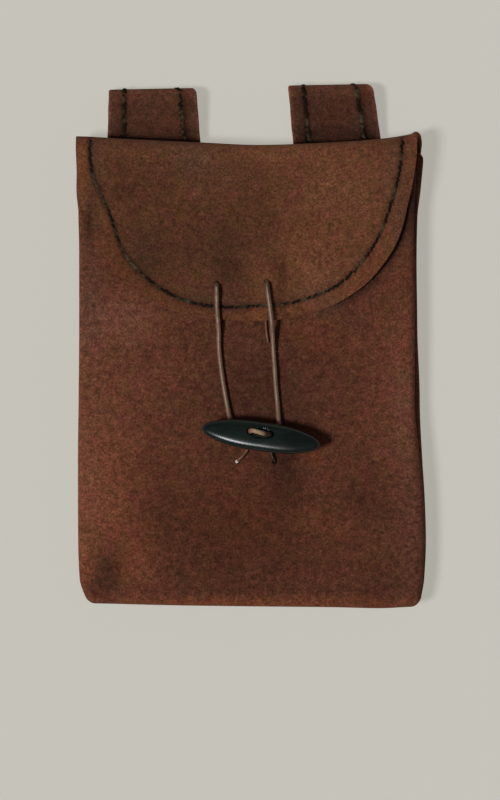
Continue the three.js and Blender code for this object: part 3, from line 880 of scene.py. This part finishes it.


# Where each piece is lighter or darker, and warmer or cooler, than the rest of it: mostly the hide's own
# tone, with some painted light and shade at edges and dents; x, y, width and height in millimetres, and
# by how much.
# Painted shadow at the flap's left edge, used on the front and on the flap.
leftFlapEdgeShadow = (-78.4, 59.7, 2.2, 9, -0.6, -0.3)
frontPatches = [
    (-70, -10, 20, 50, 0.14, 0), (-80, -70, 9, 36, 0.6, -0.1), (-66, -56, 12, 26, 0.3, 0.1),
    (-80, -4, 8, 34, 0.2, 0.1), (-60, 13, 18, 12, 0.4, -0.4), (-64, -84, 16, 20, 0.24, 0.1),
    # The first patch darkens the bottom-left dent: partly the hide's own tone, partly painted shade.
    (-70, -111, 6, 14, -0.42, -0.2), (-80, -106, 4, 10, 0.22, 0.2), (-55, -108, 9, 9, 0.26, 0.3),
    (-46, -80, 18, 14, -0.12, 0), (6, -24, 22, 28, -0.32, -0.2), (-22, -20, 16, 22, -0.14, 0),
    (17, -62, 10, 16, -0.34, -0.2), (0, -88, 50, 20, -0.26, 0), (0, -110, 46, 14, -0.22, 0),
    (56, -74, 14, 12, -0.26, 0), (45, -86, 16, 6, 0.28, 0), (63, -118, 12, 10, -0.22, 0),
    (77, -20, 10, 44, 0.34, 0.1), (62, -20, 12, 40, 0.1, 0), (36, -30, 20, 30, -0.14, 0),
    (16, -46, 12, 12, -0.22, 0), (-32, -10, 16, 10, 0.16, 0), (34, 18, 10, 6, 0.3, -0.3), leftFlapEdgeShadow,
    # The first patch is painted light along the bottom edge, where the front panel rolls over.
    (0, -124.5, 90, 3, 0.34, 0.3), (0, -119, 70, 2, -0.16, 0), (-78, 22, 6, 32, 0, -0.4),
    (-55, 9, 14, 6, 0.12, 0.1), (33, 4, 10, 10, 0.04, 0.3), (-47, -21, 10, 8, 0.14, 0),
    (40, -21, 6, 6, 0.15, 0), (-50, -58, 10, 8, -0.13, 0), (28, -53, 7, 6, 0.14, 0.3),
    (-2, -84, 36, 22, -0.08, 0.32), (-54, -97, 14, 6, 0.12, 0.1), (-53, -107, 6, 6, 0.15, -0.2),
    (-66, -107, 6, 7, -0.14, 0), (77, -60, 8, 70, 0.08, -0.3), (-78, -30, 8, 50, 0.07, -0.1),
    (-55, 0, 8, 5, -0.12, 0), (52, 12, 8, 6, -0.12, -0.1), (-43, -117, 8, 5, 0.12, 0),
    (62, -85, 8, 6, -0.1, 0), (74, -34, 6, 20, 0.08, -0.2), (4.6, -69.9, 0.8, 0.8, -0.6, 0),
    (3.6, -69.2, 0.5, 0.5, 0.8, 0),
]
flapPatches = [
    (-50, 60, 26, 34, -0.12, 0), (50, 55, 24, 36, 0.18, 0), (8, 62, 5, 20, -0.12, 0),
    (-14, 46, 18, 20, -0.26, -0.1), (-46, 44, 12, 14, -0.14, 0), (28, 40, 20, 17, 0.28, 0.1),
    (6, 100, 70, 10, 0.24, 0), (12, 97, 20, 12, 0.18, 0), (44, 77, 28, 14, 0.26, 0.1),
    (60, 60, 10, 14, 0.12, 0), (0, 97, 30, 8, 0.14, 0), (-62, 74, 8, 10, -0.16, 0),
    (-82, 80, 3, 26, 0.26, 0.2), (-28, 90, 12, 10, 0.1, -0.5), (34, 22, 14, 6, 0.28, -0.5),
    (34, 36, 14, 10, 0.14, -0.2), (-18, 21, 16, 6, 0, -0.4), (-53, 80, 16, 10, -0.11, 0),
    (-66, 64, 7, 6, 0.16, 0), (-77, 68, 6, 42, 0, -0.4), (73, 64, 7, 30, -0.06, -0.5),
    (16, 95, 10, 6, 0.1, 0), (44, 74, 24, 10, 0.08, -0.2), (-5, 50, 12, 8, -0.1, 0),
    (-5, 34, 14, 6, -0.08, 0), (-52, 42, 8, 12, -0.08, -0.3), (-27.4, 73.3, 0.8, 0.8, 0.9, -0.3),
    (-26.2, 38.1, 0.7, 0.7, 0.6, -0.3), leftFlapEdgeShadow,
]
# Painted shadow on the front along the flap's right edge; the flap's lighter, warmer rim, and painted
# shade in the groove of its row of stitches.
paintedFlapShadow = {"light": -0.55, "warm": -0.4, "reach": 0.0032, "from": 0.02, "over": 0.03}
hemTone = {"warm": 0.25, "light": 0.06, "over": 0.002, "dark": -0.6, "darkWidth": 0.0016}


def frontTone(across, up, point):
    light, warm = patchTone(frontPatches, point)
    outside = max(0, pastCurve(flap, *point.xy)[0])
    # Painted shadow of the flap's right edge on the front, fading away from the edge.
    flapShadow = smooth((point.x - paintedFlapShadow["from"]) / paintedFlapShadow["over"])
    flapShadow *= bell(outside, 0, paintedFlapShadow["reach"], 1)
    return dyed(light + paintedFlapShadow["light"] * flapShadow, warm + paintedFlapShadow["warm"] * flapShadow)


def flapTone(across, up, point):
    if up < panel["height"]:
        return dyed(0.0, 0.0)
    light, warm = patchTone(flapPatches, point)
    outside = pastHem(*point.xy)
    rim = smooth(outside / hemTone["over"])
    # Painted shade along the groove of the flap's row of stitches.
    light += hemTone["light"] * rim + hemTone["dark"] * bell(outside, 0, hemTone["darkWidth"], 1)
    return dyed(light, warm + hemTone["warm"] * rim)


def plainTone(across, up, point):
    return dyed(gusset["shade"] * wave(*point.xy, gusset["hills"]), 0.0)


meshStep = {"front": 0.00105, "flap": 0.00096, "back": 0.0019, "fold": 0.0009}
frontPanel = makeSheet(
    "front_panel",
    stops(0, panel["width"], meshStep["front"]),
    stops(0, panel["height"], meshStep["front"]),
    frontPoint,
    frontTone,
    bodySuede,
    "suede_body",
    frontHoles,
)
print("front panel made")

foldFrom = panel["height"]
flapFrom = foldFrom + fold["length"]
upBack = stops(0, foldFrom, meshStep["back"])
overTop = stops(foldFrom, flapFrom, meshStep["fold"])
downFlap = stops(flapFrom, flapFrom + fold["flap"], meshStep["flap"])
backAndFlap = makeSheet(
    "back_and_flap",
    stops(0, panel["width"], meshStep["flap"]),
    upBack + overTop[1:] + downFlap[1:],
    backAndFlapPoint,
    flapTone,
    flapSuede,
    "suede_flap",
    flapHoles,
)
makeFlapStitches()
print("back and flap made")


# The gusset is one strip down the left side, along the bottom and up the right side.
gusset = {
    "leftTop": 0.086,
    "rightTop": 0.0934,
    "roundness": 0.7,
    "allowance": 0.0034,
    "hidden": -0.0009,
    "step": 0.002,
    "cornerStep": 0.12,
    "shade": 0.08,
    "hills": (0.02, 7.7),
}


def gussetOutline():  # points along its outer edge, which way it faces there, and how far it bulges
    lowLeft = bottomEdge[0]["y"] + cornerRadius
    lowRight = bottomEdge[-1]["y"] + cornerRadius
    leftX = along(sides, lowLeft, "left") + cornerRadius
    rightX = along(sides, lowRight, "right") - cornerRadius
    mostBulge = along(sides, lowRight, "bulge")
    hidden, step = gusset["hidden"], gusset["step"]
    corner = stops(0, 1, gusset["cornerStep"])[1:-1]
    leftSide = stops(gusset["leftTop"], lowLeft, step)
    rightSide = stops(lowRight, gusset["rightTop"], step)
    places = [(along(sides, y, "left"), y, pi, hidden) for y in leftSide]
    places += [(*cornerPlace("left", lowLeft, (1 + at / 2) * pi), hidden) for at in corner]
    places += [(x, along(bottomEdge, x, "y"), 1.5 * pi, hidden) for x in stops(leftX, rightX, step)]
    for at in corner:
        places.append((*cornerPlace("right", lowRight, (1.5 + at / 2) * pi), mix(hidden, mostBulge, at)))
    return places + [(along(sides, y, "right"), y, 2 * pi, along(sides, y, "bulge")) for y in rightSide]


def cornerPlace(side, low, angle):
    reach = cornerRadius * cos(angle)
    y = low + cornerRadius * sin(angle)
    edge = along(sides, y, side)
    return edge + reach + (cornerRadius if side == "left" else -cornerRadius), y, angle


gussetPlaces = gussetOutline()


def gussetPoint(across, up):
    x, y, angle, bulge = gussetPlaces[up]
    top = frontHeight(x, y) - turnedDepth(1) - leather["gap"] - half
    bottom = backHeight(x, y) + turnedDepth(along(backTurn, y, "share")) + leather["gap"] + half
    bend = across * pi / 2
    out = mix(-gusset["allowance"], bulge - half, max(0, cos(bend)) ** gusset["roundness"])
    z = mix(bottom, top, (1 + sin(bend)) / 2)
    return Vector((x + out * cos(angle), y + out * sin(angle), z))


sideGusset = makeSheet(
    "side_gusset",
    stops(-1, 1, 1 / 8),
    list(range(len(gussetPlaces))),
    gussetPoint,
    plainTone,
    bodySuede,
    "suede_body",
)
print("gusset made")


# Each belt loop is one strap, up from behind, round the top and down again.
strap = {
    "end": 0.054,
    "sewnTo": 0.072,
    "bend": 0.0039,
    "spring": 1.5,
    "hangFrom": 0.098,
    "tilt": 0.02,
    "ragged": 0.0004,
    "hills": (0.006, 6.3),
    "step": 0.0011,
    "hem": 0.004,
    "rowStep": 0.001,
    "sunkBelow": 0.002,  # stitches this near the floor don't reach under it
}
loops = rows(
    "side x top width taper lean wornLeft wornRight leftRow leftRowTop rightRow rightRowTop light",
    ("left", -0.0472, 0.1255, 0.0459, 0.0031, -0.02, 0.0007, 0.002, -0.626, -0.648, 0.678, 0.6, 0),
    ("right", 0.0424, 0.1275, 0.0434, 0.0019, -0.12, 0.0005, 0.003, -0.619, -0.648, 0.642, 0.595, -0.13),
)


def strapSide(loop, at):  # the strap's middle line seen from the side: floor, round the top, and down
    roundAt = loop["top"] - half - strap["bend"]
    floorRun = roundAt - strap["end"]
    around = pi * strap["bend"]
    if at < floorRun:
        return strap["end"] + at, half
    if at < floorRun + around:
        turn = (at - floorRun) / strap["bend"]
        return roundAt + strap["bend"] * sin(turn), half + strap["bend"] * (1 - cos(turn))
    y = roundAt - (at - floorRun - around)
    fall = min(1, max(0, (y - strap["sewnTo"]) / (roundAt - strap["sewnTo"])))
    sewn = half + leather["thick"] + leather["gap"]
    return y, mix(sewn, half + 2 * strap["bend"], fall ** strap["spring"])


def strapPoint(loop, across, at):
    y, z = strapSide(loop, at)
    past = y - strap["hangFrom"]
    width = loop["width"] - loop["taper"] * past / (loop["top"] - strap["hangFrom"])
    radius = loop["wornLeft"] if across < 0 else loop["wornRight"]
    near = max(0, 1 - (loop["top"] - half - y) / radius)
    ragged = strap["ragged"] * (1 - wave(across, at, strap["hills"])) / 2
    reach = across * (width / 2 - ragged - radius * (1 - sqrt(1 - near * near)))
    return Vector((loop["x"] + reach + loop["lean"] * past, y + strap["tilt"] * reach, z))


def strapLength(loop):
    roundAt = loop["top"] - half - strap["bend"]
    return 2 * (roundAt - strap["end"]) + pi * strap["bend"]


# How much lighter the rims, the top folds and the rows of stitches are, and how far that reaches: the
# rims are pale cut edges with a painted highlight, the folds painted light, the rows painted shade.
loopWearAndLight = {"rim": (1.1, 0.0012), "fold": (0.7, 0.0045), "row": (-0.55, 0.0019)}
rowShift = {"leftRow": -0.0006, "rightRow": 0.0002}
# Painted shadow: each loop darkens where it goes behind the bag.
loopShadow = {"light": -0.42, "from": 0.111, "over": 0.01}  # darker where it goes behind the bag
loopPatches = {"light": 0.12, "hills": (0.012, 3.3), "warm": 0.25, "warmHills": (0.016, 9.1)}


def wearAndLight(place, away):
    light, wide = loopWearAndLight[place]
    return light * bell(away, 0, wide, 1)


def loopTone(loop, across, at, point):
    span = loop["width"] / 2
    # Rims pale with a painted highlight, top folds painted light, rows of stitches painted shade.
    light = loop["light"] + wearAndLight("rim", (1 - abs(across)) * span) + wearAndLight("fold", loop["top"] - point.y)
    light += loopShadow["light"] * smooth((loopShadow["from"] - point.y) / loopShadow["over"])
    for row, shift in rowShift.items():
        light += wearAndLight("row", (across - loop[row]) * span - shift)
    light += loopPatches["light"] * wave(*point.xy, loopPatches["hills"])
    return dyed(light, loopPatches["warm"] * wave(*point.xy, loopPatches["warmHills"]))


def makeLoop(loop):
    node = "belt_loop_" + loop["side"]
    length = strapLength(loop)
    piece = makeSheet(
        node,
        stops(-1, 1, 2 * strap["step"] / loop["width"]),
        stops(0, length, strap["step"]),
        lambda across, at: strapPoint(loop, across, at),
        lambda across, at, point: loopTone(loop, across, at, point),
        loopSuede,
        "suede_loop",
    )
    middle = Vector((0, loop["top"] - half - strap["bend"], half + strap["bend"]))

    def outward(point):
        if point.y > middle.y:
            return Vector((0, point.y - middle.y, point.z - middle.z)).normalized()
        return Vector((0, 0, 1 if point.z > middle.z * 0.7 else -1))

    bm = bmesh.new()
    for row in ("leftRow", "rightRow"):
        line = []
        for at in stops(strap["hem"], length - strap["hem"], strap["rowStep"]):
            y, z = strapSide(loop, at)
            rise = (y - strap["hangFrom"]) / (loop["top"] - strap["hangFrom"])
            across = mix(loop[row], loop[row + "Top"], max(0, rise))
            sunk = stitch["high"] / 2 * smooth(1 - (z - half) / strap["sunkBelow"])
            line.append(strapPoint(loop, across, at) + strapOutward(loop, across, at) * (half - sunk))
        addStitches(bm, line, outward, stitch["loops"])
    bmesh.ops.recalc_face_normals(bm, faces=bm.faces)
    name = node + "_stitches"
    addPiece(name, finishMesh(bm, name), thread, "suede_loop")
    return piece


def strapOutward(loop, across, at):
    step, aside = 0.0004, 0.02
    forward = strapPoint(loop, across, at + step) - strapPoint(loop, across, at - step)
    sideways = strapPoint(loop, across + aside, at) - strapPoint(loop, across - aside, at)
    return forward.cross(sideways).normalized()


beltLoops = [makeLoop(loop) for loop in loops]
print("belt loops made")


cutEnd = {
    "at": (-0.0066, -0.0561, 0.0176),
    "radius": 0.0009,
    "topRadius": 0.00081,
    "height": 0.0009,
    "bevel": 0.00022,
    "lean": (-25, 20, 0),
}


def makeCutEnd():  # the lace's pale core, standing a little proud of its hole
    bm = bmesh.new()
    radii = {"radius1": cutEnd["radius"], "radius2": cutEnd["topRadius"]}
    bmesh.ops.create_cone(bm, cap_ends=True, segments=20, depth=cutEnd["height"], **radii)
    rim = [edge for edge in bm.edges if all(vert.co.z > 0 for vert in edge.verts)]
    bevel = {"affect": "EDGES", "segments": 3, "profile": 0.5, "material": -1}
    bmesh.ops.bevel(bm, geom=rim, offset=cutEnd["bevel"], **bevel)
    lean = Euler([radians(angle) for angle in cutEnd["lean"]]).to_matrix()
    bmesh.ops.rotate(bm, cent=(0, 0, 0), matrix=lean, verts=bm.verts)
    bmesh.ops.translate(bm, vec=cutEnd["at"], verts=bm.verts)
    return addPiece("toggle_cord_cut_end", finishMesh(bm, "toggle_cord_cut_end"), cutLace, "cord")


# The toggle is a long leaf of horn with two holes in a shallow recess.
toggle = {
    "at": (0.0051, -0.044, 0.027),
    "turn": radians(-8.3),
    "roll": radians(-11),
    "length": 0.0576,
    "sharp": radians(40),
}
toggleShape = {"halfWidth": 0.0071, "above": 0.0033, "below": 0.0041, "blunt": 0.1}
toggleTaper = {"wide": 0.75, "thick": 0.5, "power": 3}
toggleRounding = {"across": 0.88, "top": 0.75, "bottom": 0.9}
toggleHoles = {"middle": -0.0007, "apart": 0.0098, "across": 0.0012, "radius": 0.0018, "through": 0.02}
recess = {"length": 0.0138, "width": 0.0062, "depth": 0.0016, "bow": 0.003, "rise": 0.02, "soft": 0.0002}


def softMin(first, second, soft):
    share = min(1, max(0, 0.5 + (first - second) / (2 * soft)))
    return mix(first, second, share) - soft * share * (1 - share)


def togglePoint(s, across, up):
    taper = abs(s) ** toggleTaper["power"]
    blunt = toggleShape["blunt"]
    end = sqrt(max(0, 1 - max(0, (abs(s) - 1 + blunt) / blunt) ** 2))
    wide = toggleShape["halfWidth"] * (1 - toggleTaper["wide"] * taper) * end
    high = toggleShape["above"] if up > 0 else toggleShape["below"]
    thick = high * (1 - toggleTaper["thick"] * taper) * end
    rounding = toggleRounding["top"] if up > 0 else toggleRounding["bottom"]
    y = abs(across) ** toggleRounding["across"] * wide * (-1 if across > 0 else 1)
    z = abs(up) ** rounding * thick * (1 if up > 0 else -1)
    x = s * toggle["length"] / 2
    if up > 0:
        a = (x - toggleHoles["middle"]) / (recess["length"] / 2)
        b = (y - toggleHoles["across"]) / (recess["width"] / 2)
        bowl = recess["bow"] * (1 - sqrt(max(0, 1 - a * a - b * b)))
        bowl += recess["rise"] * max(0, a * a + b * b - 1)
        z = softMin(z, toggleShape["above"] - recess["depth"] + bowl, recess["soft"])
    return Vector((x, y, z))


def makeToggle():
    bm = bmesh.new()
    bmesh.ops.create_uvsphere(bm, u_segments=96, v_segments=150, radius=1)
    for vert in bm.verts:
        s = max(-1, min(1, vert.co.z))
        ring = hypot(vert.co.x, vert.co.y) or 1
        vert.co = togglePoint(s, vert.co.x / ring, vert.co.y / ring)
    bmesh.ops.recalc_face_normals(bm, faces=bm.faces)
    piece = addPiece("toggle_horn", finishMesh(bm, "toggle_horn"), horn, "toggle", "toggle")
    for side in (-1, 1):
        boreHole(piece, toggleHoles["middle"] + side * toggleHoles["apart"] / 2, toggleHoles["across"])
    turn = Matrix.Rotation(toggle["turn"], 4, "Z") @ Matrix.Rotation(toggle["roll"], 4, "X")
    piece.data.transform(Matrix.Translation(toggle["at"]) @ turn)
    piece.data.set_sharp_from_angle(angle=toggle["sharp"])
    return piece


def boreHole(piece, x, y):
    bm = bmesh.new()
    radius, length = toggleHoles["radius"], toggleHoles["through"]
    bmesh.ops.create_cone(bm, cap_ends=True, segments=28, radius1=radius, radius2=radius, depth=length)
    bmesh.ops.translate(bm, vec=(x, y, 0), verts=bm.verts)
    cutter = addObject("cutter", finishMesh(bm, "cutter"))
    cut = piece.modifiers.new("bore", "BOOLEAN")
    cut.operation = "DIFFERENCE"
    cut.object = cutter
    bpy.context.view_layer.update()
    shaped = piece.evaluated_get(bpy.context.evaluated_depsgraph_get())
    mesh = bpy.data.meshes.new_from_object(shaped)
    piece.modifiers.remove(cut)
    piece.data = mesh
    bpy.data.objects.remove(cutter)


togglePiece = makeToggle()
print("toggle made")


# The gusset strip's size as it was cut.
def gussetCut():  # the strip's greatest width, its length and its area
    pairs = zip(gussetPlaces, gussetPlaces[1:])
    steps = [hypot(after[0] - before[0], after[1] - before[1]) for before, after in pairs]
    widths = []
    for up in range(len(gussetPlaces)):
        line = [gussetPoint(across, up) for across in stops(-1, 1, 1 / 12)]
        widths.append(sum((after - before).length for before, after in zip(line, line[1:])))
    area = sum(step * (before + after) / 2 for step, before, after in zip(steps, widths, widths[1:]))
    return max(widths), sum(steps), area


gussetWidth, gussetLength, gussetArea = gussetCut()


# A pale floor, a soft sun, and a strip light that only gives reflections.
floorShader = {
    "Base Color": (0.17, 0.164, 0.1475, 1),
    "Roughness": 0.9,
    "Specular IOR Level": 0,
    "Emission Color": (0.396, 0.382, 0.3435, 1),  # it glows like a light table
    "Emission Strength": 1,
}
studio = {
    "floorRadius": 4.5,
    "cove": [(0.08, 1.06), (0.3, 1.05), (1.2, 1.03)],  # how far each ring rises and widens
    "ambient": 0.13,
    "sun": 3.2,
    "sunAngle": 14,
    "sunFrom": (-0.92, -0.30, 1.4),
    "stripPower": 4.9,
    "stripSize": (0.27, 0.09),
    "stripAt": (-0.19, -0.34, 1.0),
}


def makeFloor():
    bm = bmesh.new()
    bmesh.ops.create_circle(bm, cap_ends=True, segments=64, radius=studio["floorRadius"])
    for rise, widen in studio["cove"]:
        rim = [edge for edge in bm.edges if edge.is_boundary]
        made = bmesh.ops.extrude_edge_only(bm, edges=rim)
        raised = [part for part in made["geom"] if isinstance(part, bmesh.types.BMVert)]
        bmesh.ops.scale(bm, vec=(widen, widen, 1), verts=raised)
        bmesh.ops.translate(bm, vec=(0, 0, rise), verts=raised)
    floor = addObject("floor", finishMesh(bm, "floor"))
    floor.data.materials.append(makeMaterial("floor", floorShader)[0])


def addLight(name, kind, direction):
    data = bpy.data.lights.new(name, kind)
    light = addObject(name, data)
    light.rotation_euler = Vector(direction).to_track_quat("Z", "Y").to_euler()
    return light, data


def makeLight():
    world = bpy.data.worlds.new("studio")
    scene.world = world
    world.use_nodes = True
    background = world.node_tree.nodes["Background"]
    background.inputs["Color"].default_value = (1, 1, 1, 1)
    background.inputs["Strength"].default_value = studio["ambient"]
    for name in ("main", "gloss"):  # the second adds the main light's reflections, on all but the toggle
        sun, data = addLight(name, "SUN", studio["sunFrom"])
        data.energy = studio["sun"]
        data.angle = radians(studio["sunAngle"])
        sun.visible_diffuse = name == "main"
        sun.visible_glossy = name == "gloss"
    leftOut = bpy.data.collections.new("leftOut")
    leftOut.objects.link(togglePiece)
    sun.light_linking.receiver_collection = leftOut
    leftOut.collection_objects[0].light_linking.link_state = "EXCLUDE"
    strip, data = addLight("strip", "AREA", Vector(studio["stripAt"]) - Vector(toggle["at"]))
    strip.location = studio["stripAt"]
    strip.visible_diffuse = False
    data.shape = "RECTANGLE"
    data.size, data.size_y = studio["stripSize"]
    data.energy = studio["stripPower"]


makeCutEnd()
makeFloor()
makeLight()
scene.view_settings.view_transform = "Standard"
print("floor and light made")
